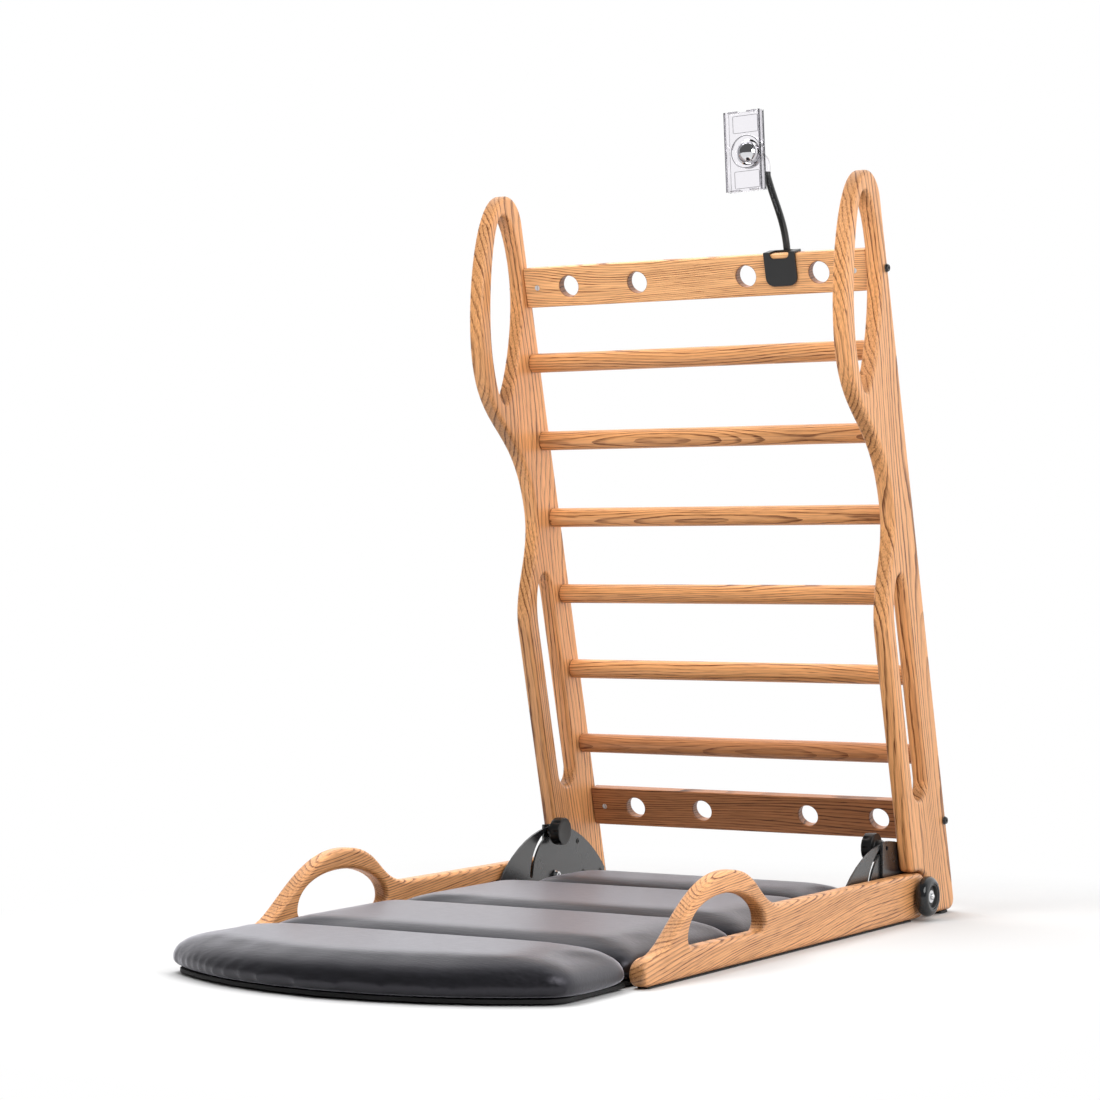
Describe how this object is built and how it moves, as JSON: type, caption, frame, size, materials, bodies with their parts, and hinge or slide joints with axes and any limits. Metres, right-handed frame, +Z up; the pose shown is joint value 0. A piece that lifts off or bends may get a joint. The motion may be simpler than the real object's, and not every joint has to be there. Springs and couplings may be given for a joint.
{
  "type": "folding ladder trainer with floor mat",
  "caption": "Leaning wooden ladder with round rungs, grip loops and holed boards, hinged to side rails over a padded floor mat, with clamp knobs, transport wheels and a phone holder.",
  "frame": {"origin": "middle of the footprint on the floor", "axes": "+Z up, -Y to the front end of the mat, +X to the right seen from that end"},
  "size_m": [0.7928, 1.4632, 1.4001],
  "materials": {
    "wood": "oiled ash, satin",
    "leatherette": "fine-grained vinyl, satin",
    "black_metal": "black powder coat",
    "black_plastic": "moulded, matt",
    "rubber": "matt",
    "wheel_tread": "smooth polyurethane",
    "steel": "zinc plated",
    "chrome": "polished",
    "clear_plastic": "clear, polished",
    "black_board": "plywood, black lacquer"
  },
  "bodies": {
    "base": {"axle_bolt_left": "steel", "axle_bolt_right": "steel", "base_board": "black_board", "pad_front": "leatherette", "pad_middle_front": "leatherette", "pad_middle_rear": "leatherette", "pad_rear": "leatherette", "pivot_bolt_left": "steel", "pivot_bolt_right": "steel", "rail_left": "wood", "rail_right": "wood", "rail_strip_left": "rubber", "rail_strip_right": "rubber", "slot_plate_left": "black_metal", "slot_plate_right": "black_metal", "slot_plate_screw_left_1": "black_metal", "slot_plate_screw_left_2": "black_metal", "slot_plate_screw_right_1": "black_metal", "slot_plate_screw_right_2": "black_metal"},
    "ladder": {"barrel_nut_bottom_left": "steel", "barrel_nut_bottom_right": "steel", "barrel_nut_top_left": "steel", "barrel_nut_top_right": "steel", "board_bolt_bottom_left": "black_metal", "board_bolt_bottom_right": "black_metal", "board_bolt_top_left": "black_metal", "board_bolt_top_right": "black_metal", "bottom_board": "wood", "foot_left": "rubber", "foot_right": "rubber", "rung_1": "wood", "rung_2": "wood", "rung_3": "wood", "rung_4": "wood", "rung_5": "wood", "rung_6": "wood", "swing_plate_left": "black_metal", "swing_plate_right": "black_metal", "swing_plate_screw_left_1": "black_metal", "swing_plate_screw_left_2": "black_metal", "swing_plate_screw_left_3": "black_metal", "swing_plate_screw_right_1": "black_metal", "swing_plate_screw_right_2": "black_metal", "swing_plate_screw_right_3": "black_metal", "top_board": "wood", "upright_left": "wood", "upright_right": "wood"},
    "wheel_left": {"wheel_tyre_left": "wheel_tread", "wheel_hub_left": "black_plastic", "wheel_bearing_left": "steel"},
    "wheel_right": {"wheel_tyre_right": "wheel_tread", "wheel_hub_right": "black_plastic", "wheel_bearing_right": "steel"},
    "knob_left": {"clamp_knob_left": "black_plastic"},
    "knob_right": {"clamp_knob_right": "black_plastic"},
    "clip": {"phone_clip": "black_plastic", "neck": "black_plastic", "ball_arm": "clear_plastic"},
    "ball": {"swivel_ball": "chrome"},
    "cradle": {"phone_cradle": "clear_plastic"}
  },
  "joints": [
    {"name": "fold", "type": "hinge", "parent": "base", "child": "ladder", "pos_m": [0, 0.51501, 0.047], "axis": [1, 0, 0], "range_deg": [0, 75.35]},
    {"name": "wheel_left_turn", "type": "hinge", "parent": "base", "child": "wheel_left", "pos_m": [-0.3841, 0.57401, 0.04225], "axis": [1, 0, 0], "continuous": true},
    {"name": "wheel_right_turn", "type": "hinge", "parent": "base", "child": "wheel_right", "pos_m": [0.3841, 0.57401, 0.04225], "axis": [1, 0, 0], "continuous": true},
    {"name": "knob_left_turn", "type": "hinge", "parent": "ladder", "child": "knob_left", "pos_m": [-0.3212, 0.50043, 0.12972], "axis": [1, 0, 0], "continuous": true},
    {"name": "knob_right_turn", "type": "hinge", "parent": "ladder", "child": "knob_right", "pos_m": [0.3212, 0.50043, 0.12972], "axis": [1, 0, 0], "continuous": true},
    {"name": "clip_slide", "type": "slide", "parent": "ladder", "child": "clip", "axis": [1, 0, 0], "range_m": [-0.44, 0.12]},
    {"name": "cradle_turn", "type": "hinge", "parent": "clip", "child": "ball", "pos_m": [0.134, 0.38601, 1.32973], "axis": [0, 1, 0], "range_deg": [-90, 90]},
    {"name": "cradle_tilt", "type": "hinge", "parent": "ball", "child": "cradle", "pos_m": [0.134, 0.38601, 1.32973], "axis": [1, 0, 0], "range_deg": [-25, 25]}
  ]
}
